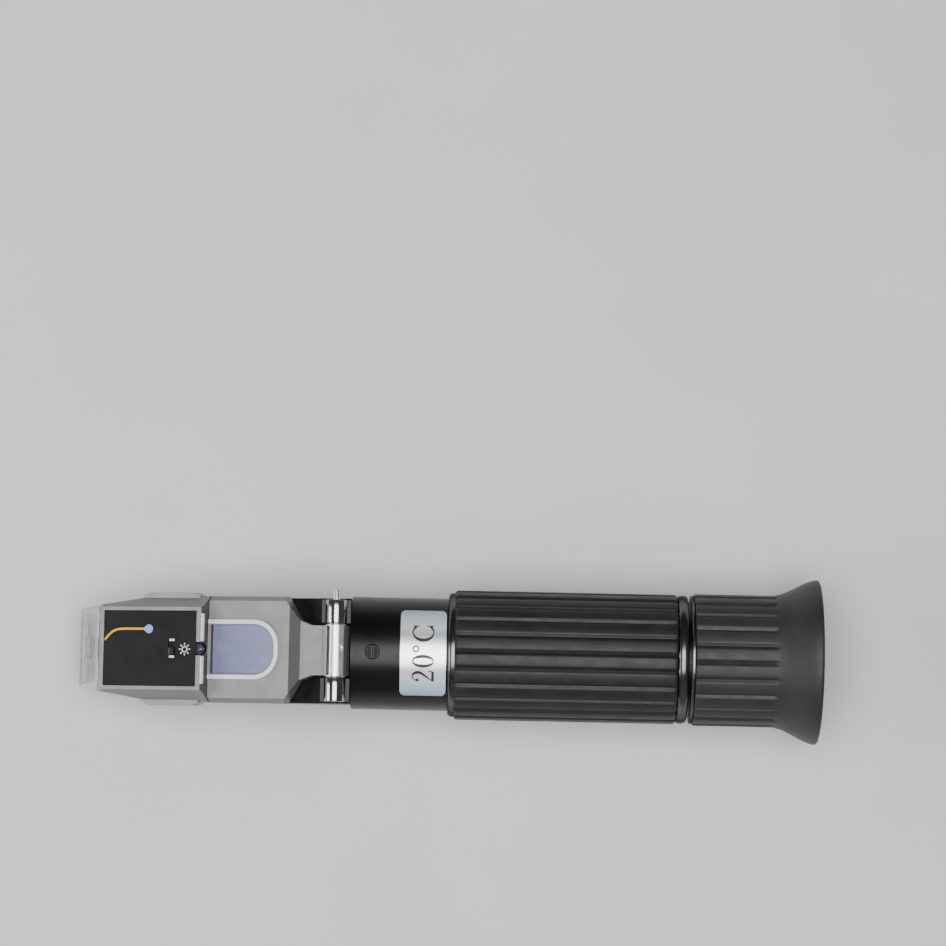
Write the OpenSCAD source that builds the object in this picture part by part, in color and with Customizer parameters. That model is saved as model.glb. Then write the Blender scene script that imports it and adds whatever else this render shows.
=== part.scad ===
// Handheld refractometer with a battery lamp in its daylight plate.
//
// Two frames are used while drawing:
//   optical frame - X is the optical axis and points at the eye, X = 0 is under the hinge pin;
//   slope frame   - the optical frame tilted about the hinge pin, so that X runs along the
//                   daylight plate, which lies at negative X, and Z is the plate's normal.
// part_frame() and slope_frame() carry them into the frame of the finished part, which has +Z up
// and its origin at the lowest point's height, under the middle of the part. All sizes are in mm.

/* [Barrel] */
// Outer diameter of the metal barrel
barrel_d = 27; // [26.8:0.1:27.2]
// Bore of the barrel
bore_d = 23.6; // [23.4:0.1:23.8]
// Where the barrel starts behind the hinge pin
barrel_x0 = 3.5; // [3.5:0.1:3.7]
// Distance from the hinge pin to the calibration screw
cal_x = 8.7; // [8.6:0.1:8.8]

/* [Grip] */
// Outer diameter of the rubber grip
grip_d = 31.2; // [30.8:0.1:31.4]
// Where the grip starts
grip_x0 = 28.2; // [28:0.1:28.6]
// Length of the grip
grip_l = 53.1; // [52:0.1:53.1]
// Number of ribs round the grip and the eyecup
rib_count = 24; // [18:1:28]

/* [Eyepiece] */
// Largest diameter of the eyecup
cup_d = 39.6; // [38:0.2:40]
// Where the eyecup ends
rim_x = 115.5; // [114.5:0.1:116]
// Outer diameter of the eyecup's ribbed part
cup_grip_d = 31.8; // [31.4:0.1:32]

/* [Prism head] */
// Angle between the prism's measuring face and the optical axis
slope = 20; // [19.5:0.1:20.5]
// Width of the prism head
head_w = 25; // [24.6:0.1:25.2]
// How far the head reaches ahead of the hinge pin
head_l = 46; // [44:0.5:47]

/* [Daylight plate] */
// Distance from the hinge pin to the tip of the battery drawer
flap_l = 65.5; // [65:0.1:66]
// Width of the daylight plate
plate_w = 25.4; // [25.2:0.1:25.6]
// Width of the neck that joins the plate to its hinge
neck_w = 11.8; // [11.4:0.1:12]

/* [Hidden] */
$fn = 96;
groove_fn = 32;
dimple_fn = 48;
lens_fn = 200;
wire_sides = 6;

// Clearances
run_gap = 0.08;  // between a bore and what turns or slides in it
face_gap = 0.1;  // between faces that move past each other
fit_gap = 0.05;  // between pieces that are pushed or bonded together
through = 1;     // how far a cutter runs past the face that it opens

// Barrel and grip
barrel_r = barrel_d / 2;
bore_r = bore_d / 2;
grip_r = grip_d / 2;
grip_x1 = grip_x0 + grip_l;
collar_l = 1.6;
collar_x0 = grip_x0 - collar_l;
collar_r = 14.9;
spigot_r = 12.9;
spigot_x1 = 97.5;
rear_collar_l = 2.6;
rear_collar_x1 = grip_x1 + rear_collar_l;
rear_collar_r = 15.4;
rib_groove_r = 0.9;
rib_groove_depth = 0.42;
rubber_chamfer = 0.4;
grip_rib_turn = 1.9;    // turn of the grip's ribs about the axis
collar_round = 1;       // radius of the front collar's front edge
rear_collar_crown = 0.7;
label_x0 = 15.3;
label_x1 = 26.2;
label_chord = 20.2;
label_t = 0.25;
label_corner_r = 1.1;
holder_screw_x = 5;
holder_screw_r = 0.8;
holder_screw_tip = 8.8; // radius that the cross screws reach in to
holder_head_r = 1.25;
holder_head_depth = 0.9;
holder_head_sunk = 0.2; // how far the screws' heads lie below the barrel's surface
holder_slot_half = 0.25;
holder_slot_depth = 0.5;

// Eyepiece
focus_x0 = 84.6;        // front of the focus ring, which leaves a gap to the rear collar
focus_flange_l = 0.8;
focus_body_r = 13.9;
focus_x1 = 102.2;
focus_rear_bore_r = 12;
flange_edge = 0.2;
web_x0 = 98.6;
web_l = 1.6;
web_r = 10.2;
carriage_r = bore_r - run_gap;
carriage_bore_r = 9.8;
carriage_x0 = 84;
carriage_x1 = web_x0 - face_gap;
carriage_neck_r = web_r - run_gap;
carriage_neck_bore_r = 8.2;
carriage_neck_x1 = 101.6;
retainer_r = 11.6;
retainer_chamfer = 0.3;
lens_retainer_bore_r = 8.6;
lens_spacer_bore_r = 8.9;
lens_r = carriage_bore_r - fit_gap;
field_x = carriage_x0 + 1;
field_t = 3;
field_ball_r = 30;
eye_t = 4;
eye_ball_r = 26;
spacer_x0 = 86.8;
spacer_x1 = 96;
focus_key_x = 89.5;
focus_key_r = 1;
focus_key_tip = 10.9;   // radius that the key reaches in to
focus_key_sunk = 0.1;
focus_key_slot = [0.3, 3, 0.8];
key_groove_r = 10.7;
key_groove_x1 = 91.3;
cup_r = cup_d / 2;
cup_grip_r = cup_grip_d / 2;
cup_rib_x1 = 105.2;
cup_front = focus_x0 + focus_flange_l;
cup_edge = 0.3;
// Where the ribbed part ends and the flare begins: [x, height above the ribs]
cup_shoulder = [[107.6, 0.9], [106.2, 0.3], [104.8, 0]];
// The rolled lip: [distance ahead of the rim, distance inside the largest radius]
cup_lip = [[0.8, 1.4], [0.2, 1.2], [0, 0.8], [0.2, 0.3], [0.8, 0], [1.8, 0.15], [2.8, 0.6]];
socket_r = 13;          // clear bore inside the eyecup
socket_x1 = 107;
cup_rib_turn = 3.7;     // turn of the eyecup's ribs about the axis at rest

// Fixed optics in the barrel
baffle_x = 46;
baffle_l = 4;
baffle_t = 1;
baffle_rim_t = 1.2;
baffle_hole_r = 6.5;
reticle_x = 69.2;
reticle_t = 1.5;
reticle_r = 9;
reticle_view_r = 7.8;
reticle_seat_l = 3;     // how far the holder reaches to either side of the glass's front
reticle_stack_l = 2.8;  // glass and retainer together

// Prism head, with planes parallel to the measuring face given by their distance from the pin
hinge_z = 14;
prism_n = -1.5;
head_n = -1.9;
seal_n = -1.75;
seal_bottom_n = -3;
flat_z = -11.7;         // the flat under the head
sole_z = -12.5;         // underside of the sole plate, which the head rests on
sole_x1 = 2;
sole_half = 5;
head_top = 14.5;        // a height above the head's flanks, which slope_z() cuts down
head_chamfer = 1.5;
spigot_in_l = 2.9;
rail_x1 = 10.8;
rail_y = 9.7;
rail_w = 1.5;
rail_h = 7;
light_r = 6.8;
prism_x0 = -37;
prism_x1 = -10.5;
prism_bottom = -5;
prism_w = 14.6;
seal_w = 17.2;
seal_x0 = -41.2;
seal_x1 = -10.4;

// Hinge
pin_r = 0.775;
pin_y0 = -11.4;
pin_y1 = 14.7;
tube_r = 2.6;
tube_y0 = 6.5;
tube_y1 = 12;
knuckle_r = 3.3;
sleeve_half = tube_y0 - face_gap;
saddle = 3.4;
saddle_drop = 2;        // how far the saddles reach below the tubes
hinge_edge = 0.35;
relief_r = 3.8;
knuckle_slot = 4;       // width of the opening that shows the sleeve
dimple = [1.55, 0.7, 2.55];
dimple_r = 0.8;

// Calibration
carriage_plate_x0 = 6.6;
carriage_plate_x1 = 10.8;
carriage_plate_r = 10.9;
carriage_bottom = -10.6;
carriage_top = 8.6;
shelf_x1 = 15;
shelf_t = 1.4;
shelf_side = 0.4;       // how far the shelf reaches past the strip's sides
strip_z = -8.2;
strip_t = 0.6;
strip_w = 6.4;
strip_x0 = 11;
strip_x1 = 27;
strip_screw_y = 1.9;
strip_screw_r = 1;
strip_screw_h = 0.6;
strip_screw_inset = 2;  // from the shelf's end to the screws
strip_slot = [0.3, 3, 0.5];
cell_x0 = 22.5;
cell_r = 7.4;
cell_lip = 0.5;         // how far the cell reaches in ahead of the lens
cell_lip_l = 0.8;
objective_r = 6.2;
objective_t = 3;
objective_ball_r = 24;
cal_screw_r = 1.5;
cal_screw_top = 12.7;
cal_screw_seat = 1;
cal_slot = [0.45, 4, 1.4];
cal_hole_floor = 5;     // length of the cutter for the screw's hole in the carriage
bush_r = 2.2;
bush_z0 = 9.2;
bush_l = 4;
cal_hole_r = 1.9;
spring_r = 1.1;
spring_wire_r = 0.16;
spring_turns = 4;
spring_steps = 14;
spring_pocket_r = 1.45;
spring_z0 = -11.5;
spring_z1 = -8.75;

// Daylight plate
plate_n0 = -1.1;
plate_n1 = 1.6;
plate_x0 = -59.9;
plate_tip_half = 10.2;
plate_taper_x = -47.5;  // where the plate begins to narrow towards its tip
plate_taper_half = plate_w / 2 - 0.3;
shoulder_x = -12.1;     // where the neck has widened to the plate's full width
shoulder_half = 7.2;
shoulder_neck_x = -5.4;
shoulder_mid_x = -8.8;
block_shoulder_half = 6.9;
block_step = 0.4;       // height of the raised part's upright sides
pad_n = -1.38;
pad_x = [-37, -12.6];
pad_half = 7;
pad_corner_r = 2;
pad_t = 1;
tall = 20;              // a cutter's height that passes through the whole plate
block_n = 3.4;
block_x0 = -31.4;
block_x1 = -8.4;
block_top_x1 = -10.6;
block_half_top = 11.6;
window_x0 = -30.6;
window_x1 = -14.4;
window_half = 5.9;
window_corner_r = 5;
window_n = 2.7;
window_ridge = 1.35;
window_ridge_n = 3.9;

// Lamp housing
housing_x1 = -31.5;
housing_top = 6.7;
housing_half_top = 9.9;
housing_edge = 0.5;
housing_side_n = 2.4;   // where the housing's sides begin to lean in
housing_wall = 1.5;
tip_break_x = -57.9;    // where the top turns down towards the drawer's nose
ear_half = 13.5;
ear_x = [-48.8, -47, -35.6, -33.8];
ear_n1 = 3.2;
ear_root = 1.2;         // how far the ears reach into the housing
cavity_half = 8.4;
cavity_n1 = 5.1;
opening_n0 = 5;
opening_inset = 1;      // from the label plate's ends to the opening below it
label_plate_x0 = -57.4;
label_plate_x1 = -33.2;
label_plate_half = 9;
label_plate_n = 6.1;
switch_x = -39.6;
switch_half = 3.3;
switch_case_n = 5.35;
switch_case = 1.4;      // half of the switch's length along the plate
switch_slot = [0.8, 0.85]; // half widths of its slot in the case and in the label plate
knob_half = 0.7;
knob_w = 1.9;
knob_travel = 1.3;
knob_slot_half = knob_w / 2 + knob_travel / 2 + face_gap;
knob_rib = 0.12;
knob_foot = 0.9;        // how far the knob reaches into its case
knob_n = 6.95;
board_n = 1.75;
board_t = 0.8;
board_x0 = -43;
board_x1 = -36.6;
board_half = 7.5;
led_r = 1.5;
led_n = 3.7;
led_x1 = -31.8;
led_flange_x = -36;
led_flange_r = 1.75;
led_flange_l = 0.9;
led_lead_y = 0.9;
led_lead = 0.2;         // half of a lead's width
led_lead_l = 1.4;
contact_half = 2;
contact_x = [-53, -42.6];
contact_n = 4.75;
contact_t = [0.3, 0.25]; // thickness of the upper contact's foot and of its arm
lower_contact_x = [-53, -40];
lower_contact_half = 1.5;
lower_contact_r = 1.2;
cell_cx = -51;
coin_r = 6.25;
coin_n = 2.65;
coin_t = 2;
coin_step = 0.9;        // how much smaller the cell's lower face is
coin_step_h = 0.35;
tray_half = 7.8;
tray_x1 = -44;
tray_n = 1.9;
tray_top = 4.3;
nose_x1 = plate_x0 - face_gap;
nose_n0 = 4.5;
nose_n1 = 2.8;
nose_wall = 1.1;
nose_half = [10.1, 9.4];
nose_cavity_half = 8.3;
nose_cavity_n1 = 1.7;
latch_x = [-63.6, -61.4];
latch_half = 2.6;
latch_n = 2.6;
tray_slot_x0 = -52.6;   // the slot that the lower contact slides through
tray_slot_half = 1.9;
tray_gap_x0 = -46.5;    // the gap behind the cell
tray_gap_half = 5.6;

// The middle of the part along the axis, from its two ends
tip_reach = flap_l * cos(slope) + nose_n1 * sin(slope);
mid_x = (rim_x - tip_reach) / 2;

// Height at x of the plane that lies n from the hinge pin's axis, parallel to the measuring face
function slope_z(n, x) = hinge_z + n / cos(slope) + x * tan(slope);
function mirrored(points) =
    concat(points, [for (i = [len(points) - 1 : -1 : 0]) [points[i][0], -points[i][1]]]);
function flipped(points) =
    concat(points, [for (i = [len(points) - 1 : -1 : 0]) [-points[i][0], points[i][1]]]);

module part_frame() translate([-mid_x, 0, cup_r]) children();
module slope_frame() part_frame() translate([0, 0, hinge_z]) rotate([0, -slope, 0]) children();

// Extrudes a (y, z) outline along X, an (x, z) outline across Y
module along_x(x0, x1) translate([x0, 0, 0]) rotate([90, 0, 90]) linear_extrude(x1 - x0) children();
module across_y(y0, y1) translate([0, y1, 0]) rotate([90, 0, 0]) linear_extrude(y1 - y0) children();
module block(x, y, z) translate([x[0], y[0], z[0]]) cube([x[1] - x[0], y[1] - y[0], z[1] - z[0]]);
module cross_cylinder(y0, y1, r) across_y(y0, y1) circle(r);

// Turns [x, r] points about the optical axis
module lathe(points)
    part_frame() rotate([0, 90, 0]) rotate_extrude() polygon([for (p = points) [p[1], p[0]]]);

// A ring about the optical axis, with its outer edges chamfered by c
module ring(x0, x1, r_in, r_out, c = 0)
    lathe([[x0, r_in], [x1, r_in], [x1, r_out - c], [x1 - c, r_out], [x0 + c, r_out], [x0, r_out - c]]);

// Grooves between the ribs of a rubber part
module rib_grooves(x0, x1, r_out, turn = 0)
    part_frame() along_x(x0, x1)
        for (i = [0 : rib_count - 1])
            rotate(turn + 90 + 360 * i / rib_count)
                translate([r_out + rib_groove_r - rib_groove_depth, 0])
                    circle(rib_groove_r, $fn = groove_fn);

module rounded_rect(x, y, r) {
    translate([x[0] + r, y[0]]) square([x[1] - x[0] - 2 * r, y[1] - y[0]]);
    translate([x[0], y[0] + r]) square([x[1] - x[0], y[1] - y[0] - 2 * r]);
    for (cx = [x[0] + r, x[1] - r], cy = [y[0] + r, y[1] - r]) translate([cx, cy]) circle(r);
}

// Barrel ------------------------------------------------------------------------------------

module barrel() color("#1a1a1c") difference() {
    lathe([
        [barrel_x0, bore_r], [spigot_x1, bore_r], [spigot_x1, spigot_r],
        [grip_x1, spigot_r], [grip_x1, barrel_r], [barrel_x0, barrel_r]
    ]);
    part_frame() {
        translate([cal_x, 0, 0]) cylinder(h = barrel_r + through, r = cal_hole_r);
        translate([holder_screw_x, 0, 0]) {
            cross_cylinder(-barrel_r - through, barrel_r + through, holder_screw_r + fit_gap);
            for (side = [-1, 1]) {
                y = side * barrel_r;
                cross_cylinder(y - holder_head_depth, y + holder_head_depth, holder_head_r + fit_gap);
            }
        }
        translate([focus_key_x, 0, -barrel_r - through]) cylinder(h = barrel_r, r = focus_key_r);
    }
}

module front_collar() color("#131314")
    lathe([
        [collar_x0, barrel_r], [grip_x0, barrel_r], [grip_x0, collar_r],
        for (a = [0 : 18 : 90])
            [collar_x0 + collar_round * (1 - sin(a)), collar_r - collar_round * (1 - cos(a))]
    ]);

module rear_collar() color("#131314")
    lathe([
        [grip_x1, spigot_r], [rear_collar_x1, spigot_r],
        for (a = [-90 : 18 : 90])
            [(grip_x1 + rear_collar_x1) / 2 - rear_collar_l / 2 * sin(a),
                rear_collar_r - rear_collar_crown * (1 - cos(a))]
    ]);

module grip() color("#3a3a3b") difference() {
    ring(grip_x0, grip_x1, barrel_r, grip_r, rubber_chamfer);
    rib_grooves(grip_x0 - through, grip_x1 + through, grip_r, grip_rib_turn);
}

module compensation_label() color("#c9d6e2") intersection() {
    ring(label_x0, label_x1, barrel_r, barrel_r + label_t);
    part_frame() linear_extrude(barrel_r + through)
        rounded_rect([label_x0, label_x1], [-label_chord / 2, label_chord / 2], label_corner_r);
}

module light_baffle() color("#202020") {
    r = bore_r - fit_gap;
    lathe([
        [baffle_x, baffle_hole_r], [baffle_x + baffle_t, baffle_hole_r],
        [baffle_x + baffle_t, r - baffle_rim_t], [baffle_x + baffle_l, r - baffle_rim_t],
        [baffle_x + baffle_l, r], [baffle_x, r]
    ]);
}

module reticle() color("#dfeaf0", 0.5)
    lathe([[reticle_x, 0], [reticle_x + reticle_t, 0], [reticle_x + reticle_t, reticle_r],
        [reticle_x, reticle_r]]);

module reticle_holder() color("#252526") {
    r = bore_r - fit_gap;
    lathe([
        [reticle_x - reticle_seat_l, reticle_view_r], [reticle_x, reticle_view_r],
        [reticle_x, reticle_r + fit_gap], [reticle_x + reticle_seat_l, reticle_r + fit_gap],
        [reticle_x + reticle_seat_l, r], [reticle_x - reticle_seat_l, r]
    ]);
}

module reticle_retainer() color("#252526")
    ring(reticle_x + reticle_t, reticle_x + reticle_stack_l, reticle_view_r, reticle_r);

module focus_key() color("#8a8a8c") part_frame() difference() {
    translate([focus_key_x, 0, -spigot_r + focus_key_sunk])
        cylinder(h = spigot_r - focus_key_sunk - focus_key_tip, r = focus_key_r - fit_gap);
    translate([focus_key_x, 0, -spigot_r]) cube(focus_key_slot, center = true);
}

// Prism head --------------------------------------------------------------------------------

// Side outline of the prism, grown by c at the ends and the bottom
function prism_side(c, n) = [
    [prism_x0 - c, prism_bottom - c], [prism_x1 + c, prism_bottom - c],
    [prism_x1 + c, slope_z(n, prism_x1 + c)], [prism_x0 - c, slope_z(n, prism_x0 - c)]
];

module seal_box()
    slope_frame() block([seal_x0, seal_x1], [-seal_w / 2, seal_w / 2], [seal_bottom_n, seal_n]);

module head_body() intersection() {
    along_x(-head_l, barrel_x0) intersection() {
        union() {
            circle(barrel_r);
            translate([-head_w / 2, 0]) square([head_w, head_top]);
        }
        square([head_w, 2 * head_top], center = true);
    }
    across_y(-head_w / 2, head_w / 2) polygon([
        [-head_l, flat_z + head_chamfer], [-head_l + head_chamfer, flat_z],
        [barrel_x0, flat_z], [barrel_x0, slope_z(head_n, barrel_x0)],
        [-head_l, slope_z(head_n, -head_l)]
    ]);
}

module prism_holder() color("#1a1a1c") difference() {
    union() {
        part_frame() {
            head_body();
            for (y0 = [tube_y0 + face_gap, -tube_y1])
                block([-saddle, saddle], [y0, y0 + tube_y1 - tube_y0 - face_gap],
                    [hinge_z - tube_r - saddle_drop, hinge_z]);
            for (y0 = [rail_y, -rail_y - rail_w])
                block([barrel_x0, rail_x1], [y0, y0 + rail_w], [-rail_h / 2, rail_h / 2]);
        }
        ring(barrel_x0 - through, barrel_x0 + spigot_in_l, light_r, bore_r - fit_gap);
    }
    seal_box();
    part_frame() {
        across_y(-prism_w / 2 - fit_gap, prism_w / 2 + fit_gap)
            polygon(prism_side(fit_gap, head_n + through));
        translate([prism_x1, 0, 0]) rotate([0, 90, 0])
            cylinder(h = barrel_x0 + spigot_in_l + through - prism_x1, r = light_r);
        translate([0, 0, hinge_z]) {
            cross_cylinder(-tube_y0, tube_y0, relief_r);
            for (side = [0, 1]) mirror([0, side, 0]) cross_cylinder(tube_y0, tube_y1 + through, tube_r);
        }
        translate([holder_screw_x, 0, 0])
            cross_cylinder(-barrel_r, barrel_r, holder_screw_r + fit_gap);
    }
}

module sole_plate() color("#1a1a1c") part_frame()
    block([-head_l + head_chamfer, sole_x1], [-sole_half, sole_half], [sole_z, flat_z]);

module prism() color("#9fb4d8", 0.6) part_frame()
    across_y(-prism_w / 2, prism_w / 2) polygon(prism_side(0, prism_n));

module prism_seal() color("#5c6066") difference() {
    seal_box();
    part_frame() across_y(-prism_w / 2, prism_w / 2) polygon(prism_side(0, prism_n));
}

module holder_screws() color("#4a4a4d") part_frame() {
    head_y = barrel_r - holder_head_sunk;
    for (side = [0, 1]) mirror([0, side, 0]) translate([holder_screw_x, 0, 0]) difference() {
        union() {
            cross_cylinder(holder_screw_tip, barrel_r - holder_head_depth, holder_screw_r);
            cross_cylinder(barrel_r - holder_head_depth, head_y, holder_head_r);
        }
        block([-holder_slot_half, holder_slot_half], [head_y - holder_slot_depth, barrel_r],
            [-2 * holder_head_r, 2 * holder_head_r]);
    }
}

// Hinge -------------------------------------------------------------------------------------

// A tube along Y with chamfered ends
module hinge_tube(y0, y1, r_in, r_out) {
    c = hinge_edge;
    translate([0, y0, 0]) rotate([-90, 0, 0]) rotate_extrude() polygon([
        [r_in, 0], [r_out - c, 0], [r_out, c],
        [r_out, y1 - y0 - c], [r_out - c, y1 - y0], [r_in, y1 - y0]
    ]);
}

module hinge_tubes() color("#c4c6c8") part_frame() translate([0, 0, hinge_z]) {
    hinge_tube(tube_y0, tube_y1, pin_r, tube_r);
    hinge_tube(-tube_y1, -tube_y0, pin_r, tube_r);
}

module hinge_pin() color("#d4d6d8") part_frame() translate([0, 0, hinge_z]) {
    hinge_tube(pin_y0, pin_y1, 0, pin_r);
}

module knuckle_sleeve() color("#c4c6c8") part_frame() translate([0, 0, hinge_z]) difference() {
    hinge_tube(-sleeve_half, sleeve_half, pin_r + run_gap, tube_r);
    translate(dimple) sphere(r = dimple_r, $fn = dimple_fn);
}

// Calibration -------------------------------------------------------------------------------

module screw_bush() color("#2e2e30") difference() {
    intersection() {
        part_frame() translate([cal_x, 0, bush_z0]) cylinder(h = bush_l, r = bush_r);
        ring(0, 2 * cal_x, 0, bore_r - fit_gap);
    }
    part_frame() translate([cal_x, 0, 0]) cylinder(h = barrel_r, r = cal_screw_r + fit_gap);
}

module calibration_screw() color("#2c2c2e") part_frame() difference() {
    translate([cal_x, 0, carriage_top - cal_screw_seat + fit_gap])
        cylinder(h = cal_screw_top - carriage_top + cal_screw_seat - fit_gap, r = cal_screw_r);
    translate([cal_x, 0, cal_screw_top]) cube(cal_slot, center = true);
}

module calibration_carriage() color("#b08d4c") part_frame() difference() {
    union() {
        along_x(carriage_plate_x0, carriage_plate_x1) intersection() {
            circle(carriage_plate_r);
            translate([-rail_y + face_gap, carriage_bottom])
                square([2 * (rail_y - face_gap), carriage_top - carriage_bottom]);
        }
        block([carriage_plate_x1, shelf_x1], [-strip_w / 2 - shelf_side, strip_w / 2 + shelf_side],
            [strip_z - shelf_t, strip_z]);
    }
    rotate([0, 90, 0]) cylinder(h = 2 * shelf_x1 + through, r = light_r, center = true);
    translate([cal_x, 0, carriage_top - cal_screw_seat])
        cylinder(h = cal_hole_floor, r = cal_screw_r + fit_gap);
    translate([cal_x, 0, carriage_bottom - through])
        cylinder(h = spring_z1 + fit_gap - carriage_bottom + through, r = spring_pocket_r);
}

function spring_point(i, a) =
    let (
        turn = 360 * i / spring_steps,
        rise = (spring_z1 - spring_z0 - 2 * spring_wire_r) / (spring_turns * spring_steps),
        r = spring_r + spring_wire_r * cos(a)
    )
    [r * cos(turn), r * sin(turn), spring_z0 + spring_wire_r + rise * i + spring_wire_r * sin(a)];

module return_spring() color("#b9bbbd") part_frame() translate([cal_x, 0, 0]) {
    sides = wire_sides;
    rings = spring_turns * spring_steps + 1;
    last = (rings - 1) * sides;
    polyhedron(
        [for (i = [0 : rings - 1], k = [0 : sides - 1]) spring_point(i, 360 * k / sides)],
        concat(
            [[for (k = [0 : sides - 1]) k]],
            [[for (k = [sides - 1 : -1 : 0]) last + k]],
            [for (i = [0 : rings - 2], k = [0 : sides - 1])
                let (j = (k + 1) % sides, a = i * sides)
                [a + k, a + sides + k, a + sides + j, a + j]]
        )
    );
}

module bimetal_strip() color("#a7a39b") part_frame()
    block([strip_x0, strip_x1], [-strip_w / 2, strip_w / 2], [strip_z, strip_z + strip_t]);

module strip_screws() color("#8f9194") part_frame()
    for (y = [-strip_screw_y, strip_screw_y])
        translate([shelf_x1 - strip_screw_inset, y, strip_z + strip_t]) difference() {
            cylinder(h = strip_screw_h, r = strip_screw_r);
            translate([0, 0, strip_screw_h]) cube(strip_slot, center = true);
        }

module objective_cell() color("#2a2a2b") difference() {
    union() {
        ring(cell_x0, strip_x1, objective_r - cell_lip, cell_r);
        part_frame() block([cell_x0, strip_x1], [-strip_w / 2, strip_w / 2],
            [strip_z + strip_t, -objective_r]);
    }
    ring(cell_x0 + cell_lip_l, strip_x1 + through, 0, objective_r + fit_gap);
}

// A lens about the axis with one flat face and one spherical face of radius ball_r
module plano_lens(flat_x, apex_x, r, ball_r) intersection() {
    ring(min(flat_x, apex_x), max(flat_x, apex_x), 0, r);
    part_frame() translate([apex_x + ball_r * sign(flat_x - apex_x), 0, 0])
        sphere(r = ball_r, $fn = lens_fn);
}

module objective_lens() color("#cfe3ee", 0.5)
    plano_lens(cell_x0 + cell_lip_l, cell_x0 + cell_lip_l + objective_t, objective_r,
        objective_ball_r);

// Eyepiece ----------------------------------------------------------------------------------

module lens_carriage() color("#242425") difference() {
    lathe([
        [carriage_x0, carriage_bore_r], [carriage_x1, carriage_bore_r],
        [carriage_x1, carriage_neck_bore_r], [carriage_neck_x1, carriage_neck_bore_r],
        [carriage_neck_x1, carriage_neck_r], [carriage_x1, carriage_neck_r],
        [carriage_x1, carriage_r], [carriage_x0, carriage_r]
    ]);
    part_frame() block([carriage_x0 - through, key_groove_x1],
        [-focus_key_r - fit_gap, focus_key_r + fit_gap], [-bore_r - through, -key_groove_r]);
}

module carriage_retainer() color("#141415")
    ring(web_x0 + web_l + face_gap, carriage_neck_x1, carriage_neck_r, retainer_r,
        retainer_chamfer);

module lens_retainer() color("#242425")
    ring(carriage_x0, field_x, lens_retainer_bore_r, lens_r);
module lens_spacer() color("#202021")
    ring(spacer_x0, spacer_x1, lens_spacer_bore_r, lens_r);

module field_lens() color("#cfe3ee", 0.5)
    plano_lens(field_x, field_x + field_t, lens_r, field_ball_r);

module eye_lens() color("#cfe3ee", 0.5)
    plano_lens(carriage_x1, carriage_x1 - eye_t, lens_r, eye_ball_r);

module focus_ring() color("#131314") {
    bore = spigot_r + run_gap;
    flange_x1 = focus_x0 + focus_flange_l;
    lathe([
        [focus_x0, bore], [web_x0, bore], [web_x0, web_r], [web_x0 + web_l, web_r],
        [web_x0 + web_l, focus_rear_bore_r], [focus_x1, focus_rear_bore_r],
        [focus_x1, focus_body_r], [flange_x1, focus_body_r],
        [flange_x1, rear_collar_r - flange_edge], [flange_x1 - flange_edge, rear_collar_r],
        [focus_x0 + flange_edge, rear_collar_r], [focus_x0, rear_collar_r - flange_edge]
    ]);
}

module eyecup() color("#454546") difference() {
    lathe([
        [cup_front, focus_body_r], [focus_x1, focus_body_r],
        [focus_x1, socket_r], [socket_x1, socket_r],
        for (p = cup_lip) [rim_x - p[0], cup_r - p[1]],
        for (p = cup_shoulder) [p[0], cup_grip_r + p[1]],
        [cup_front + cup_edge, cup_grip_r], [cup_front, cup_grip_r - cup_edge]
    ]);
    rib_grooves(focus_x0, cup_rib_x1, cup_grip_r, -cup_rib_turn);
}

// Daylight plate ----------------------------------------------------------------------------

// The outline with the rounded end that the prism is seen through, grown by c
module window_outline(c) {
    r = window_corner_r + c;
    half = window_half + c;
    x1 = window_x1 + c;
    translate([window_x0 - c, -half]) square([x1 - r - window_x0 + c, 2 * half]);
    translate([x1 - r, -half + r]) square([r, 2 * (half - r)]);
    for (y = [-half + r, half - r]) translate([x1 - r, y]) circle(r);
}

module daylight_plate() color("#b9bbbd", 0.8) slope_frame() difference() {
    union() {
        translate([0, 0, plate_n0]) linear_extrude(plate_n1 - plate_n0) polygon(mirrored([
            [0, neck_w / 2], [shoulder_neck_x, neck_w / 2], [shoulder_mid_x, shoulder_half],
            [shoulder_x, plate_w / 2], [plate_taper_x, plate_taper_half],
            [plate_x0, plate_tip_half]
        ]));
        intersection() {
            across_y(-plate_w / 2, plate_w / 2) polygon([
                [block_x0, 0], [block_x1, 0], [block_x1, plate_n1],
                [block_top_x1, block_n], [block_x0, block_n]
            ]);
            along_x(block_x0, block_x1) polygon(flipped([
                [plate_w / 2, 0], [plate_w / 2, plate_n1 + block_step], [block_half_top, block_n]
            ]));
            linear_extrude(block_n) polygon(mirrored([
                [block_x1, block_shoulder_half], [shoulder_x, plate_w / 2], [block_x0, plate_w / 2]
            ]));
        }
        translate([0, 0, window_n]) linear_extrude(window_ridge_n - window_n) intersection() {
            window_outline(window_ridge);
            translate([block_x0, -plate_w]) square(2 * plate_w);
        }
        translate([0, 0, pad_n]) linear_extrude(pad_t)
            rounded_rect(pad_x, [-pad_half, pad_half], pad_corner_r);
        cross_cylinder(-neck_w / 2, neck_w / 2, knuckle_r);
    }
    translate([0, 0, pad_n - through]) linear_extrude(tall) window_outline(0);
    cross_cylinder(-neck_w, neck_w, tube_r);
    rotate([0, slope, 0])
        block([-knuckle_slot / 2, knuckle_slot / 2], [-neck_w, neck_w], [0, 2 * knuckle_r]);
}

module window_lens() color("#a9acd6", 0.7) slope_frame()
    translate([0, 0, pad_n]) linear_extrude(window_n - pad_n) window_outline(0);

// Outline of the lamp housing seen along the plate's normal
module housing_plan() polygon(mirrored([
    [housing_x1, plate_w / 2], [plate_taper_x, plate_taper_half], [plate_x0, plate_tip_half]
]));

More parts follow.
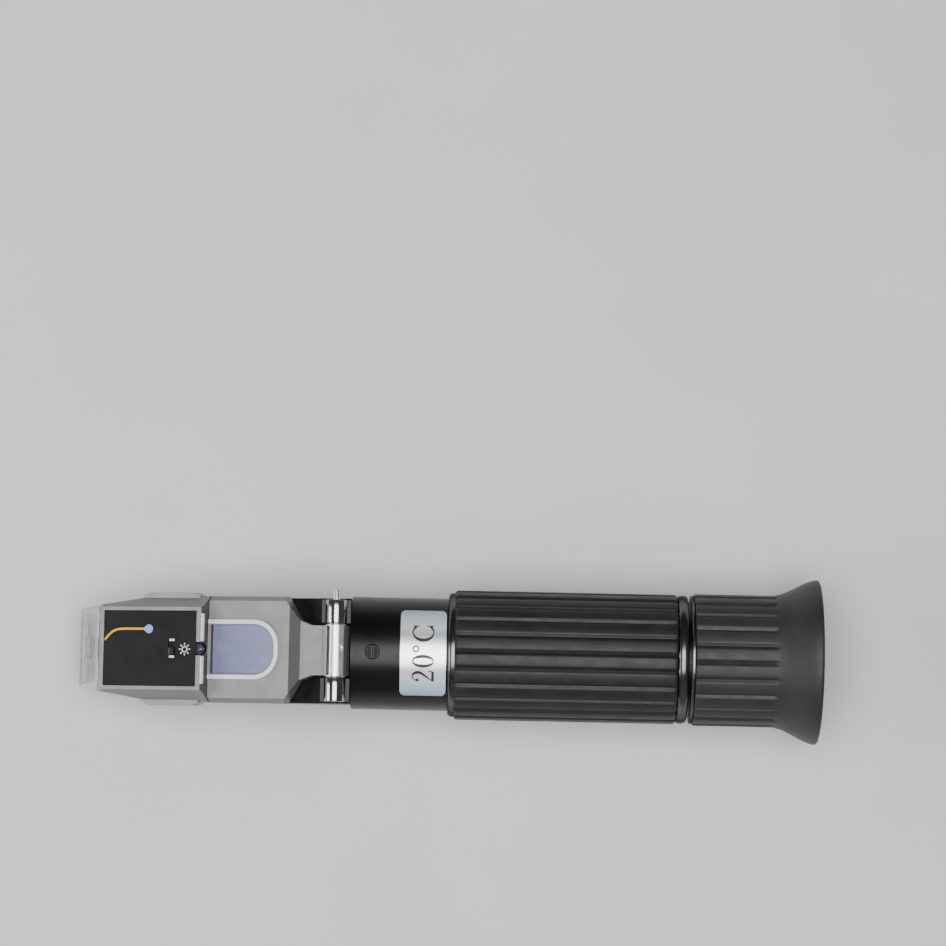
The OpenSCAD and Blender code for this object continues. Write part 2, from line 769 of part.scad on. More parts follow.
module led_housing() color("#b9bbbd", 0.8) slope_frame() difference() {
    union() {
        intersection() {
            translate([0, 0, plate_n1]) linear_extrude(housing_top) housing_plan();
            across_y(-plate_w, plate_w) polygon([
                [housing_x1, 0], [housing_x1, housing_top - housing_edge],
                [housing_x1 - housing_edge, housing_top], [tip_break_x, housing_top],
                [plate_x0, nose_n0], [plate_x0, 0]
            ]);
            along_x(-flap_l, 0) polygon(flipped([
                [plate_w / 2, 0], [plate_w / 2, housing_side_n], [housing_half_top, housing_top]
            ]));
        }
        for (side = [0, 1]) mirror([0, side, 0])
            translate([0, 0, plate_n0]) linear_extrude(ear_n1 - plate_n0) polygon([
                [ear_x[3], plate_w / 2 + fit_gap], [ear_x[2], ear_half],
                [ear_x[1], ear_half], [ear_x[0], plate_w / 2 + fit_gap]
            ]);
        for (side = [0, 1]) mirror([0, side, 0])
            block([ear_x[0], ear_x[3]], [plate_w / 2 - ear_root, plate_w / 2 + fit_gap],
                [plate_n1, ear_n1]);
    }
    block([-flap_l, housing_x1 - housing_wall], [-cavity_half, cavity_half], [0, cavity_n1]);
    block([label_plate_x0 + opening_inset, label_plate_x1 - opening_inset],
        [-cavity_half, cavity_half], [opening_n0, tall]);
    block([label_plate_x0 - fit_gap, label_plate_x1 + fit_gap],
        [-label_plate_half - fit_gap, label_plate_half + fit_gap], [label_plate_n, tall]);
    block([led_flange_x, 0], [-led_r - face_gap, led_r + face_gap], [0, tall]);
}

module label_plate() color("#2b2b2c") slope_frame() difference() {
    block([label_plate_x0, label_plate_x1], [-label_plate_half, label_plate_half],
        [label_plate_n, housing_top]);
    block([switch_x - switch_slot[1], switch_x + switch_slot[1]],
        [-knob_slot_half, knob_slot_half], [0, tall]);
}

module circuit_board() color("#1f5a36") slope_frame()
    block([board_x0, board_x1], [-board_half, board_half], [board_n, board_n + board_t]);

module slide_switch() color("#8d9094") slope_frame() difference() {
    block([switch_x - switch_case, switch_x + switch_case], [-switch_half, switch_half],
        [board_n + board_t, switch_case_n]);
    block([switch_x - switch_slot[0], switch_x + switch_slot[0]],
        [-knob_slot_half, knob_slot_half],
        [switch_case_n - knob_foot - face_gap, switch_case_n + through]);
}

module switch_knob() color("#0c0c0d") slope_frame() translate([switch_x, -knob_travel / 2, 0]) {
    block([-knob_half, knob_half], [-knob_w / 2, knob_w / 2], [switch_case_n - knob_foot, knob_n]);
    for (y = [-1, 0, 1] * 5 * knob_rib)
        block([-knob_half, knob_half], [y - knob_rib, y + knob_rib], [knob_n, knob_n + knob_rib]);
}

module led() color("#e8ecf2", 0.6) slope_frame() {
    translate([led_flange_x, 0, led_n]) rotate([0, 90, 0]) {
        cylinder(h = led_flange_l, r = led_flange_r);
        cylinder(h = led_x1 - led_flange_x - led_r, r = led_r);
        translate([0, 0, led_x1 - led_flange_x - led_r]) sphere(r = led_r);
    }
    for (y = [-led_lead_y, led_lead_y]) {
        bend_x = led_flange_x - led_lead_l;
        block([bend_x, led_flange_x], [y - led_lead, y + led_lead],
            [led_n - led_lead, led_n + led_lead]);
        block([bend_x, bend_x + 2 * led_lead], [y - led_lead, y + led_lead],
            [board_n + board_t, led_n + led_lead]);
    }
}

module positive_contact() color("#c9a85a") slope_frame() {
    foot_x = contact_x[1] + contact_t[0];
    arm_n = contact_n + contact_t[1];
    across_y(-contact_half, contact_half) polygon([
        [contact_x[1], board_n + board_t], [foot_x, board_n + board_t], [foot_x, arm_n],
        [contact_x[0], arm_n], [contact_x[0], contact_n], [contact_x[1], contact_n]
    ]);
}

module negative_contact() color("#c9a85a") slope_frame() {
    block(lower_contact_x, [-lower_contact_half, lower_contact_half], [plate_n1, board_n]);
    translate([cell_cx, 0, plate_n1])
        cylinder(h = coin_n - fit_gap - plate_n1, r = lower_contact_r);
}

module battery_drawer() color("#d5dadd", 0.4) slope_frame() difference() {
    union() {
        block([nose_x1 - nose_wall, tray_x1], [-tray_half, tray_half], [tray_n, tray_top]);
        intersection() {
            translate([0, 0, plate_n0]) linear_extrude(tall)
                polygon(mirrored([[nose_x1, nose_half[0]], [-flap_l, nose_half[1]]]));
            across_y(-plate_w, plate_w) polygon([
                [nose_x1, plate_n0], [nose_x1, nose_n0], [-flap_l, nose_n1], [-flap_l, plate_n0]
            ]);
        }
    }
    translate([cell_cx, 0, coin_n]) cylinder(h = tall, r = coin_r + face_gap);
    block([tray_slot_x0, 0], [-tray_slot_half, tray_slot_half], [0, tall]);
    block([tray_gap_x0, 0], [-tray_gap_half, tray_gap_half], [coin_n, tall]);
    block([-flap_l + nose_wall, nose_x1 - nose_wall], [-nose_cavity_half, nose_cavity_half],
        [plate_n0 - through, nose_cavity_n1]);
    block(latch_x, [-latch_half, latch_half], [latch_n, tall]);
}

module coin_cell() color("#b5b8ba") slope_frame() translate([cell_cx, 0, coin_n]) {
    cylinder(h = coin_step_h, r = coin_r - coin_step);
    translate([0, 0, coin_step_h]) cylinder(h = coin_t - coin_step_h, r = coin_r);
}

// Nodes -------------------------------------------------------------------------------------

barrel();
front_collar();
rear_collar();
grip();
compensation_label();
light_baffle();
reticle();
reticle_holder();
reticle_retainer();
focus_key();
prism_holder();
sole_plate();
prism();
prism_seal();
holder_screws();
hinge_tubes();
hinge_pin();
screw_bush();
return_spring();
calibration_screw();
calibration_carriage();
bimetal_strip();
strip_screws();
objective_cell();
objective_lens();
lens_carriage();
carriage_retainer();
lens_retainer();
lens_spacer();
field_lens();
eye_lens();
focus_ring();
eyecup();
knuckle_sleeve();
daylight_plate();
window_lens();
led_housing();
label_plate();
circuit_board();
slide_switch();
switch_knob();
led();
positive_contact();
negative_contact();
battery_drawer();
coin_cell();
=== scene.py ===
import math

import bmesh
import bpy
from mathutils import Matrix, Vector, noise


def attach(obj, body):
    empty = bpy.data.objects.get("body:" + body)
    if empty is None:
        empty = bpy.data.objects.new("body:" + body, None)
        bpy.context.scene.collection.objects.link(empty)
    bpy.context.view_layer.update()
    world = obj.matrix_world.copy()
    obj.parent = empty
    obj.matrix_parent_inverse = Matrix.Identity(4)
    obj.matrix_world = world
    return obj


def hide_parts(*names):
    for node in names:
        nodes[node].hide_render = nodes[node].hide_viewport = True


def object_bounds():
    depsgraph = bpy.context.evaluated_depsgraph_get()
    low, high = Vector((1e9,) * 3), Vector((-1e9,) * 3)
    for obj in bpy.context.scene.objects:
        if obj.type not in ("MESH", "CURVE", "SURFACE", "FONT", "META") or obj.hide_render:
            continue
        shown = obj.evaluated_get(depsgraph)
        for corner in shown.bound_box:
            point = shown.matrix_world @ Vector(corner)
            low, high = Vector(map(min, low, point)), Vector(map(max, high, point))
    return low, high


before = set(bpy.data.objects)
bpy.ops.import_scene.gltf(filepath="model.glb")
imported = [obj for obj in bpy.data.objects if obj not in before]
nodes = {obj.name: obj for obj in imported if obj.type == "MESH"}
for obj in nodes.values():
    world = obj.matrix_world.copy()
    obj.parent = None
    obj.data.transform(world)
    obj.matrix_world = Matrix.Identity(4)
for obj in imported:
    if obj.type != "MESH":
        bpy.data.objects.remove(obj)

cad_lo, cad_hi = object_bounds()

# Sizes are in millimetres until a point is made, and the row frame is in metres
MM = 0.001
TAU = 2 * math.pi

# The optical axis runs along X at this height, and the hinge pin along Y above it
AXIS_Z = 19.8
HINGE_X = -26.4962
HINGE_Z = 33.8

# Slope of the daylight plate, which falls towards the nose
SLOPE = math.radians(20)

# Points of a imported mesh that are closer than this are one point, in metres
DOUBLED = 2e-6

# Noise stays between these two values nearly everywhere
NOISE_LOW = 0.3
NOISE_HIGH = 0.7

# Cosines between a rounded edge's normal and the true one, where the lightened edge begins and is
# complete
EDGE_MASK_BEGINS = 0.995
EDGE_MASK_FULL = 0.9

# Sockets of the Mix node: its factor, its two colours, and its colour output
MIX_FACTOR = 0
MIX_COLOURS = (6, 7)
MIX_OUTPUT = 2


def point(x, y, z):
    return Vector((x * MM, y * MM, z * MM))


def on_flap(x, y, n):
    """A point of the daylight plate: x up its slope from the pin, n off the measuring face."""
    return point(
        HINGE_X + x * math.cos(SLOPE) - n * math.sin(SLOPE),
        y,
        HINGE_Z + x * math.sin(SLOPE) + n * math.cos(SLOPE),
    )


def round_axis(x, r, angle):
    """A point about the optical axis, x along it from the hinge: angle 0 is straight up."""
    return point(HINGE_X + x, r * math.sin(angle), AXIS_Z + r * math.cos(angle))


# Materials ---------------------------------------------------------------------------------


class Paint:
    """Builds one material out of procedural nodes around a Principled shader."""

    def __init__(self, name, **sockets):
        self.mat = bpy.data.materials.new(name)
        self.mat.use_nodes = True
        self.tree = self.mat.node_tree
        self.bsdf = self.tree.nodes["Principled BSDF"]
        self.normal = None
        for socket, value in sockets.items():
            self.bsdf.inputs[socket.replace("_", " ")].default_value = value
        self.coords = self.tree.nodes.new("ShaderNodeTexCoord").outputs["Object"]

    def node(self, kind, inputs=(), **settings):
        made = self.tree.nodes.new(kind)
        for key, value in settings.items():
            setattr(made, key, value)
        for socket, value in dict(inputs).items():
            if isinstance(value, bpy.types.NodeSocket):
                self.tree.links.new(value, made.inputs[socket])
            else:
                made.inputs[socket].default_value = value
        return made

    def stretched(self, x=1.0, y=1.0, z=1.0):
        mapping = self.node("ShaderNodeMapping", {"Vector": self.coords, "Scale": (x, y, z)})
        return mapping.outputs[0]

    def noise(self, size_mm, detail=3.0, vector=None, roughness=0.5):
        return self.node("ShaderNodeTexNoise", {
            "Vector": vector or self.coords, "Scale": 1 / (size_mm * MM),
            "Detail": detail, "Roughness": roughness,
        }).outputs["Fac"]

    def ramp(self, factor, *stops):
        """Colour stops (place, colour), or grey ones where the colour is one number."""
        made = self.node("ShaderNodeValToRGB", {"Fac": factor})
        made.color_ramp.interpolation = "EASE"
        elements = made.color_ramp.elements
        while len(elements) < len(stops):
            elements.new(0.5)
        for element, (place, colour) in zip(elements, stops):
            grey = not hasattr(colour, "__len__")
            element.position = place
            element.color = (*((colour,) * 3 if grey else colour), 1)
        return made.outputs["Color"]

    def span(self, value, low, high, to_low=0.0, to_high=1.0):
        return self.node("ShaderNodeMapRange", {
            "Value": value, "From Min": low, "From Max": high, "To Min": to_low, "To Max": to_high,
        }).outputs["Result"]

    def math(self, operation, a, b=0.0):
        return self.node("ShaderNodeMath", {0: a, 1: b}, operation=operation).outputs[0]

    def axis(self, letter, vector=None):
        return self.node("ShaderNodeSeparateXYZ", {0: vector or self.coords}).outputs[letter]

    def mix(self, factor, a, b, blend="MIX"):
        made = self.node("ShaderNodeMix", data_type="RGBA", blend_type=blend)
        for index, value in zip((MIX_FACTOR, *MIX_COLOURS), (factor, a, b)):
            if isinstance(value, bpy.types.NodeSocket):
                self.tree.links.new(value, made.inputs[index])
            elif index == MIX_FACTOR:
                made.inputs[index].default_value = value
            else:
                made.inputs[index].default_value = (*value, 1)
        return made.outputs[MIX_OUTPUT]

    def edge_mask(self, radius_mm):
        """A mask: 1 along edges and 0 elsewhere."""
        bevel = self.node("ShaderNodeBevel", {"Radius": radius_mm * MM}, samples=4).outputs[0]
        true = self.node("ShaderNodeNewGeometry").outputs["Normal"]
        dot = self.node("ShaderNodeVectorMath", {0: bevel, 1: true}, operation="DOT_PRODUCT")
        return self.span(dot.outputs["Value"], EDGE_MASK_BEGINS, EDGE_MASK_FULL)

    def colour(self, value):
        self.tree.links.new(value, self.bsdf.inputs["Base Color"])
        return self

    def rough(self, factor, low, high):
        spread = self.span(factor, NOISE_LOW, NOISE_HIGH, low, high)
        self.tree.links.new(spread, self.bsdf.inputs["Roughness"])
        return self

    def wear_and_highlight(self, radius_mm, strength, colour):
        """Lightens the colour so far along the edges: real wear, and on the screw a painted
        highlight too.
        """
        base = self.bsdf.inputs["Base Color"].links[0].from_socket
        mask = self.math("MULTIPLY", self.edge_mask(radius_mm), strength)
        return self.colour(self.mix(mask, base, colour))

    def bump(self, height, depth_mm):
        inputs = {"Height": height, "Distance": depth_mm * MM, "Strength": 1.0}
        if self.normal is not None:
            inputs["Normal"] = self.normal
        self.normal = self.node("ShaderNodeBump", inputs).outputs[0]
        self.tree.links.new(self.normal, self.bsdf.inputs["Normal"])
        return self


def moulded(name, dark, light, rough, grain_mm, depth_mm, patch_mm=6.0, **sockets):
    """Moulded rubber, plastic or a coating: two close colours, a fine grain, uneven gloss."""
    p = Paint(name, **sockets)
    patches = p.noise(patch_mm, 4)
    p.colour(p.ramp(patches, (NOISE_LOW, dark), (NOISE_HIGH, light)))
    p.rough(p.noise(patch_mm / 2, 5), *rough)
    p.bump(p.noise(grain_mm, 2), depth_mm)
    return p


def turned_metal(name, dark, light, rough, line_mm=0.06, depth_mm=0.0015, along=(1, 0.02, 0.02)):
    """Metal with fine turning or drawing lines, and faint handling marks."""
    p = Paint(name, Metallic=1.0)
    lines = p.noise(line_mm, 2, p.stretched(*along))
    marks = p.noise(3, 4)
    p.colour(p.ramp(p.mix(0.4, lines, marks), (NOISE_LOW, dark), (NOISE_HIGH, light)))
    p.rough(p.mix(0.5, lines, marks), *rough)
    p.bump(lines, depth_mm)
    return p


def clear(name, colour, rough, ior, patch_mm=5.0, **sockets):
    """Glass or clear plastic, with faint smears in its gloss and a very slight waviness."""
    p = Paint(name, Transmission_Weight=1.0, IOR=ior, **sockets)
    smear = p.noise(patch_mm, 4)
    tint = tuple(min(1.0, c * 1.03) for c in colour)
    p.colour(p.ramp(smear, (NOISE_LOW, colour), (NOISE_HIGH, tint)))
    p.rough(smear, *rough)
    p.bump(p.noise(patch_mm * 1.5, 1), 0.004)
    return p


def barrel_paint():
    """Black powder coat, rubbed a little along its edges."""
    p = moulded("barrel_paint", (0.004, 0.004, 0.0042), (0.006, 0.006, 0.0065), (0.3, 0.38),
                0.09, 0.004, patch_mm=9, Specular_IOR_Level=0.27)
    return p.wear_and_highlight(0.2, 0.35, (0.09, 0.09, 0.095))


def screw_oxide_worn_and_highlit():
    """Blackened steel, lightened along its rim and its slot's edges: partly real wear, partly a
    painted highlight.
    """
    p = moulded("screw_oxide_worn_and_highlit", (0.006, 0.006, 0.006), (0.01, 0.01, 0.01), (0.4, 0.52), 0.1, 0.003,
                patch_mm=1, Specular_IOR_Level=0.16)
    # Painted highlight along the rim and the slot's edges, on top of real wear
    return p.wear_and_highlight(0.16, 0.8, (0.3, 0.3, 0.31))


def collar_gloss():
    """Dark glossy metal, with a tint that keeps it dark where it is seen at a low angle."""
    p = moulded("collar_gloss", (0.11, 0.11, 0.112), (0.14, 0.14, 0.143), (0.2, 0.27),
                1.5, 0.003, patch_mm=4, Metallic=1.0, Specular_Tint=(0.3, 0.3, 0.3, 1))
    return p.bump(p.noise(0.12, 1, p.stretched(1, 0.05, 0.05)), 0.001)


def grip_rubber():
    """Black rubber with faint streaks along the ribs."""
    p = moulded("grip_rubber", (0.009, 0.009, 0.0092), (0.0145, 0.0145, 0.015), (0.46, 0.58),
                0.16, 0.016, patch_mm=7, Specular_IOR_Level=0.46)
    streaks = p.noise(0.7, 3, p.stretched(0.06, 1, 1))
    return p.bump(streaks, 0.015)


def eyecup_rubber():
    """Greyer rubber with a faint orange peel."""
    p = moulded("eyecup_rubber", (0.017, 0.017, 0.0173), (0.024, 0.024, 0.0245), (0.48, 0.6),
                0.18, 0.016, patch_mm=8, Specular_IOR_Level=0.5)
    return p.bump(p.noise(1.4, 2), 0.01)


LABEL_HALF = 10.2  # from the label's middle to each of its ends, across the barrel


def label_foil():
    """Silver foil, painted white along its middle as a painted highlight and pale blue towards its
    two ends as a painted reflection.
    """
    p = Paint("label_foil")
    outwards = p.span(p.math("ABSOLUTE", p.axis("Y")), 0, LABEL_HALF * MM)
    # Painted highlight along the middle and painted reflection, pale blue, towards the two ends
    tint = p.ramp(outwards,
                  (0.0, (0.98, 0.98, 0.99)), (0.5, (0.9, 0.93, 0.97)), (0.78, (0.6, 0.72, 0.84)),
                  (1.0, (0.36, 0.48, 0.62)))
    shine = p.ramp(outwards, (0.0, 0.95), (0.35, 0.85), (0.65, 0.25))
    p.tree.links.new(shine, p.bsdf.inputs["Metallic"])
    lines = p.noise(0.08, 2, p.stretched(0.03, 1, 1))
    glint = p.span(lines, NOISE_LOW, NOISE_HIGH, 0, 0.12)
    p.colour(p.mix(glint, tint, (0.95, 0.97, 1.0)))
    p.rough(lines, 0.3, 0.42)
    return p.bump(lines, 0.0012)


def frosted_plastic():
    """Milky plastic: a thin cloudy skin over what lies under it."""
    p = Paint("frosted_plastic", IOR=1.49, Transmission_Weight=0.38, Subsurface_Weight=0.15,
              Subsurface_Scale=0.0015)
    cloud = p.noise(4, 5)
    milky = p.ramp(cloud, (NOISE_LOW, (0.42, 0.425, 0.43)), (NOISE_HIGH, (0.5, 0.505, 0.51)))
    # Painted shade: the faces that look up the slope, and those that look to the sides, are painted
    # darker
    normal = p.node("ShaderNodeTexCoord").outputs["Normal"]
    shade_uphill = p.math("ADD", p.math("MULTIPLY", p.axis("X", normal), math.cos(SLOPE)),
                    p.math("MULTIPLY", p.axis("Z", normal), math.sin(SLOPE)))
    milky = p.mix(p.span(shade_uphill, 0.15, 0.7, 0, 0.95), milky, (0.08, 0.081, 0.083))
    shade_sideways = p.math("ABSOLUTE", p.axis("Y", normal))
    p.colour(p.mix(p.span(shade_sideways, 0.25, 0.75, 0, 0.7), milky, (0.17, 0.172, 0.176)))
    p.rough(p.noise(1.2, 4), 0.3, 0.42)
    p.bump(p.noise(0.2, 2), 0.006)
    return p.bump(p.noise(2.5, 2, p.stretched(0.3, 1, 1)), 0.01)


WINDOW_X = (-56, -39)  # the window's two ends in the row frame


def window_violet():
    """Lavender window, a little deeper towards the lamp."""
    p = Paint("window_violet", IOR=1.49, Transmission_Weight=0.45, Coat_Weight=0.3,
              Coat_Roughness=0.08)
    along = p.span(p.axis("X"), WINDOW_X[0] * MM, WINDOW_X[1] * MM)
    violet = p.ramp(along, (0.0, (0.37, 0.385, 0.66)), (1.0, (0.45, 0.465, 0.7)))
    clouds = p.span(p.noise(2.2, 4), NOISE_LOW, NOISE_HIGH, 0, 0.3)
    p.colour(p.mix(clouds, violet, (0.51, 0.525, 0.74)))
    p.rough(p.noise(1.5, 3), 0.18, 0.3)
    return p.bump(p.noise(3.5, 2), 0.01)


def board_green():
    """Green circuit board with a net of brass tracks."""
    p = moulded("board_green", (0.004, 0.05, 0.02), (0.008, 0.075, 0.03), (0.3, 0.45), 0.3, 0.004)
    tracks = p.node("ShaderNodeTexBrick", {
        "Vector": p.coords, "Scale": 0.3 / MM, "Mortar Size": 0.012,
        "Color1": (0.01, 0.08, 0.03, 1), "Color2": (0.006, 0.05, 0.02, 1),
        "Mortar": (0.2, 0.14, 0.05, 1),
    })
    return p.colour(tracks.outputs["Color"])


PAINTS = {
    "barrel_paint": barrel_paint(),
    "collar_gloss": collar_gloss(),
    "grip_rubber": grip_rubber(),
    "eyecup_rubber": eyecup_rubber(),
    "label_foil": label_foil(),
    "inner_black": moulded("inner_black", (0.008, 0.008, 0.008), (0.014, 0.014, 0.014),
                           (0.6, 0.8), 0.15, 0.01),
    "optical_glass": clear("optical_glass", (0.94, 0.97, 0.98), (0.0, 0.03), 1.52,
                           Coat_Weight=0.3, Coat_Tint=(0.75, 0.8, 1.0, 1)),
    "prism_glass": clear("prism_glass", (0.8, 0.86, 0.96), (0.0, 0.04), 1.62),
    "seal_rubber": moulded("seal_rubber", (0.05, 0.05, 0.053), (0.075, 0.075, 0.08),
                           (0.45, 0.6), 0.2, 0.01),
    "hinge_chrome": turned_metal("hinge_chrome", (0.33, 0.34, 0.36), (0.43, 0.44, 0.46),
                                 (0.07, 0.15), along=(0.05, 1, 0.05)),
    "screw_steel": turned_metal("screw_steel", (0.012, 0.012, 0.013), (0.024, 0.024, 0.025),
                                (0.25, 0.4)),
    "spring_steel": turned_metal("spring_steel", (0.45, 0.45, 0.45), (0.6, 0.59, 0.57),
                                 (0.2, 0.35)),
    "bush_brass": turned_metal("bush_brass", (0.5, 0.36, 0.15), (0.65, 0.5, 0.24), (0.25, 0.4)),
    "contact_brass": turned_metal("contact_brass", (0.52, 0.42, 0.2), (0.68, 0.56, 0.3),
                                  (0.2, 0.35), line_mm=0.1),
    "frosted_plastic": frosted_plastic(),
    "clear_plastic": clear("clear_plastic", (0.72, 0.74, 0.76), (0.02, 0.08), 1.49, patch_mm=6),
    "window_violet": window_violet(),
    "label_black": moulded("label_black", (0.009, 0.009, 0.0095), (0.013, 0.013, 0.0135),
                           (0.38, 0.5), 0.12, 0.003, patch_mm=5, Specular_IOR_Level=0.2),
    "switch_black": moulded("switch_black", (0.008, 0.008, 0.008), (0.014, 0.014, 0.014),
                            (0.3, 0.45), 0.1, 0.006, patch_mm=1),
    "switch_body": moulded("switch_body", (0.02, 0.02, 0.02), (0.04, 0.04, 0.04),
                           (0.4, 0.5), 0.2, 0.005),
    "board_green": board_green(),
    "led_epoxy": clear("led_epoxy", (0.78, 0.78, 0.98), (0.05, 0.12), 1.5, patch_mm=1),
    "cell_steel": turned_metal("cell_steel", (0.5, 0.5, 0.51), (0.62, 0.62, 0.63), (0.2, 0.3),
                               line_mm=0.15, along=(1, 1, 1)),
}

# Pieces whose finish differs from the rest of their slot
FINISHES = {
    "knuckle_sleeve": turned_metal("sleeve_satin", (0.88, 0.88, 0.89), (0.97, 0.97, 0.97),
                                   (0.28, 0.4), along=(0.05, 1, 0.05)),
    "screw_bush": turned_metal("bush_oxide", (0.012, 0.012, 0.012), (0.022, 0.022, 0.022),
                               (0.3, 0.42)),
    "calibration_screw": screw_oxide_worn_and_highlit(),
}

# Every CAD node takes the material of its own slot, or its own finish
for name, obj in nodes.items():
    slot_name = obj.data.materials[0].name
    obj.data.materials.clear()
    obj.data.materials.append(FINISHES.get(name, PAINTS[slot_name]).mat)

# Meshes ------------------------------------------------------------------------------------

# An edge shows sharp beyond these angles, on a CAD node and on a piece that is made here
SMOOTH_ANGLE = math.radians(30)
PIECE_ANGLE = math.radians(35)

# Faces within the first angle are one flat face, and edges beyond the second get rounded
FLAT_ANGLE = math.radians(0.5)
BEVEL_ANGLE = math.radians(28)


def smooth_by_angle():
    """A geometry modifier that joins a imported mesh's doubled points and shades it smooth."""
    tree = bpy.data.node_groups.new("smooth_by_angle", "GeometryNodeTree")
    tree.interface.new_socket("Geometry", in_out="INPUT", socket_type="NodeSocketGeometry")
    tree.interface.new_socket("Geometry", in_out="OUTPUT", socket_type="NodeSocketGeometry")
    new = tree.nodes.new
    source = new("NodeGroupInput")
    sink = new("NodeGroupOutput")
    merge = new("GeometryNodeMergeByDistance")
    merge.inputs["Distance"].default_value = DOUBLED
    faces = new("GeometryNodeSetShadeSmooth")
    edges = new("GeometryNodeSetShadeSmooth")
    edges.domain = "EDGE"
    angle = new("GeometryNodeInputMeshEdgeAngle")
    sharp = new("FunctionNodeCompare")
    sharp.operation = "LESS_THAN"
    sharp.inputs["B"].default_value = SMOOTH_ANGLE
    link = tree.links.new
    link(source.outputs[0], merge.inputs["Geometry"])
    link(merge.outputs[0], faces.inputs["Geometry"])
    link(faces.outputs[0], edges.inputs["Geometry"])
    link(angle.outputs["Unsigned Angle"], sharp.inputs["A"])
    link(sharp.outputs[0], edges.inputs["Shade Smooth"])
    link(edges.outputs[0], sink.inputs[0])
    return tree


SMOOTH = smooth_by_angle()


def dress(obj, bevel_mm):
    """Shades a CAD node smooth and, where the bevel isn't 0, rounds its edges."""
    weld = obj.modifiers.new("join", "WELD")
    weld.merge_threshold = DOUBLED
    if bevel_mm:
        flat = obj.modifiers.new("flat", "DECIMATE")
        flat.decimate_type = "DISSOLVE"
        flat.angle_limit = FLAT_ANGLE
        bevel = obj.modifiers.new("bevel", "BEVEL")
        bevel.width = bevel_mm * MM
        bevel.segments = 3
        bevel.limit_method = "ANGLE"
        bevel.angle_limit = BEVEL_ANGLE
        bevel.use_clamp_overlap = True
    smooth = obj.modifiers.new("smooth", "NODES")
    smooth.node_group = SMOOTH
    if bevel_mm:
        weighted = obj.modifiers.new("weighted", "WEIGHTED_NORMAL")
        weighted.keep_sharp = True


# Widths of the rounded edges, in mm, on the nodes that have them
BEVELS = {"daylight_plate": 0.22, "led_housing": 0.25, "battery_drawer": 0.22,
          "label_plate": 0.12, "window_lens": 0.2, "switch_knob": 0.1, "sole_plate": 0.2}
for name, obj in nodes.items():
    dress(obj, BEVELS.get(name, 0))


def add_piece(name, bm, body, slot_name, paint=None, replaces=()):
    """Makes one closed mesh an object of the scene, on its body and with its material."""
    bmesh.ops.recalc_face_normals(bm, faces=bm.faces)
    mesh = bpy.data.meshes.new(name)
    bm.to_mesh(mesh)
    bm.free()
    mesh.shade_smooth()
    mesh.set_sharp_from_angle(angle=PIECE_ANGLE)
    obj = bpy.data.objects.new(name, mesh)
    bpy.context.scene.collection.objects.link(obj)
    mesh.materials.append((paint or PAINTS[slot_name]).mat)
    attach(obj, body)
    if replaces:
        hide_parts(*replaces)
    return obj


def skinned(bm, rows, closed=False):
    """Joins rows of points into one closed skin, with a cap at each end of an open one."""
    rows = [[bm.verts.new(place) for place in row] for row in rows]
    for a, b in zip(rows, rows[1:] + rows[:1] if closed else rows[1:]):
        for i in range(len(a)):
            j = (i + 1) % len(a)
            bm.faces.new((a[i], a[j], b[j], b[i]))
    if not closed:
        bm.faces.new(rows[0])
        bm.faces.new(rows[-1][::-1])


def revolved(profile, steps, place, cut=None):
    """A closed loop of (along, radius, share of the cut) points turned about an axis."""
    bm = bmesh.new()
    rings = []
    for k in range(steps):
        angle = TAU * k / steps
        ring = []
        for along, radius, share in profile:
            depth = share * cut(along, angle) if cut and share else 0
            ring.append(place(along, radius - depth, angle))
        rings.append(ring)
    skinned(bm, rings, closed=True)
    return bm


def evenly(start, end, count):
    return [start + (end - start) * k / (count - 1) for k in range(count)]


def arc(cu, cv, ru, rv, start, end, count=24):
    """Points (u, v) of an elliptic arc between two angles in degrees."""
    return [(cu + ru * math.cos(a), cv + rv * math.sin(a))
            for a in evenly(math.radians(start), math.radians(end), count)]


def bezier(p0, p1, p2, p3, count):
    """Points of a cubic curve."""
    return [tuple((1 - t) ** 3 * a + 3 * (1 - t) ** 2 * t * b + 3 * (1 - t) * t * t * c + t ** 3 * d
                  for a, b, c, d in zip(p0, p1, p2, p3)) for t in evenly(0, 1, count)]


# Rubber ribs of the grip and the eyecup
RIBS = 24
RIB_PITCH = TAU / RIBS
GROOVE_DEPTH = 0.42
GROOVE_HALF = 0.85
RIB_CROWN = 0.13
UNEVEN_DEPTH = 0.035
UNEVEN_ALONG = 0.12
UNEVEN_AROUND = 3
STEPS_AROUND = RIBS * 16


def ribbed(radius, turn):
    """The depth below the ribs' crests: a groove between crowned ribs, a little uneven."""
    def cut(along, angle):
        off = abs((angle - turn + RIB_PITCH / 2) % RIB_PITCH - RIB_PITCH / 2) * radius
        half = RIB_PITCH / 2 * radius
        groove = GROOVE_DEPTH * (1 + math.cos(math.pi * min(1, off / GROOVE_HALF))) / 2
        uneven = noise.noise((along * UNEVEN_ALONG, math.cos(angle) * UNEVEN_AROUND,
                              math.sin(angle) * UNEVEN_AROUND))
        return groove + RIB_CROWN * ((half - off) / half) ** 2 + UNEVEN_DEPTH * (1 + uneven)
    return cut


# The grip, with (along, radius) offsets that round its two ends
GRIP_X0 = 28.2
GRIP_X1 = 81.3
GRIP_BORE = 13.5
GRIP_R = 15.6
GRIP_TURN = math.radians(1.9)
GRIP_ROUND = [(0, 0.6), (0.12, 0.25), (0.45, 0.05)]


def grip():
    profile = [(GRIP_X0, GRIP_BORE, 0)]
    profile += [(GRIP_X0 + dx, GRIP_R - dr, 1) for dx, dr in GRIP_ROUND]
    profile += [(x, GRIP_R, 1) for x in evenly(GRIP_X0 + 1, GRIP_X1 - 1, 20)]
    profile += [(GRIP_X1 - dx, GRIP_R - dr, 1) for dx, dr in GRIP_ROUND[::-1]]
    profile += [(GRIP_X1, GRIP_BORE, 0)]
    return revolved(profile, STEPS_AROUND, round_axis, ribbed(GRIP_R, GRIP_TURN))


add_piece("ribbed_grip", grip(), "root", "grip_rubber", replaces=["grip"])

